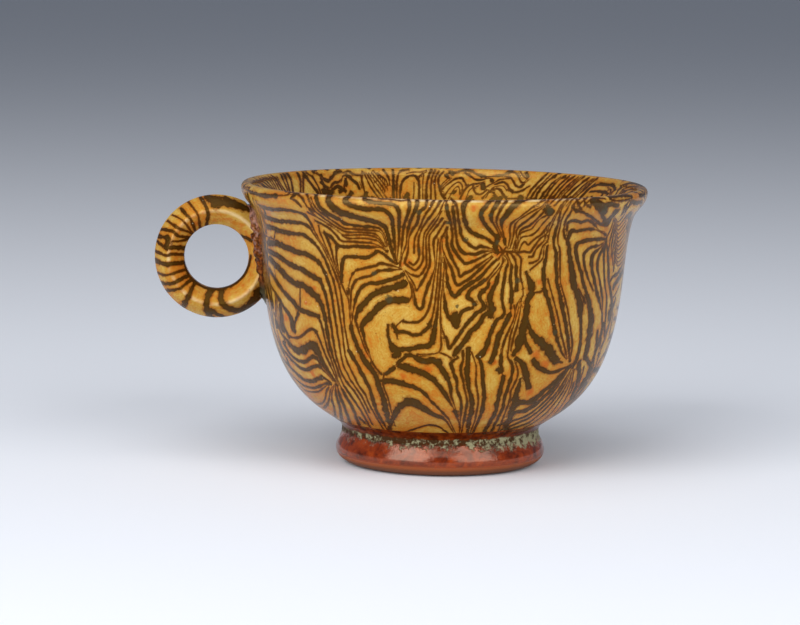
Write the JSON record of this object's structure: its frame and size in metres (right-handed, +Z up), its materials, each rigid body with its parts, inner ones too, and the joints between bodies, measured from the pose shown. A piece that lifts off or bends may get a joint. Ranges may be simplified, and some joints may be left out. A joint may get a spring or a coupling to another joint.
{
  "type": "marbled ware cup",
  "caption": "Round footed drinking cup of glazed marbled clay with a turned-out lip, a plain red-brown ring foot and a coiled ring handle luted to the wall.",
  "frame": {"origin": "on the standing plane, under the middle of the whole cup including its handle", "axes": "+Z up along the bowl's axis, the ring handle towards -X, the ring's own axis along Y"},
  "size_m": [0.1092, 0.09, 0.0624],
  "materials": {
    "marbled_clay": "glossy amber glaze over brown and buff marbled clay",
    "luting_slip": "glossy dark red-brown",
    "foot_clay": "glossy red-brown, matt on the standing edge"
  },
  "bodies": {
    "root": {"bowl": "marbled_clay", "handle_ring": "marbled_clay", "handle_luting": "luting_slip", "foot_luting": "luting_slip", "foot_ring": "foot_clay"}
  },
  "joints": []
}
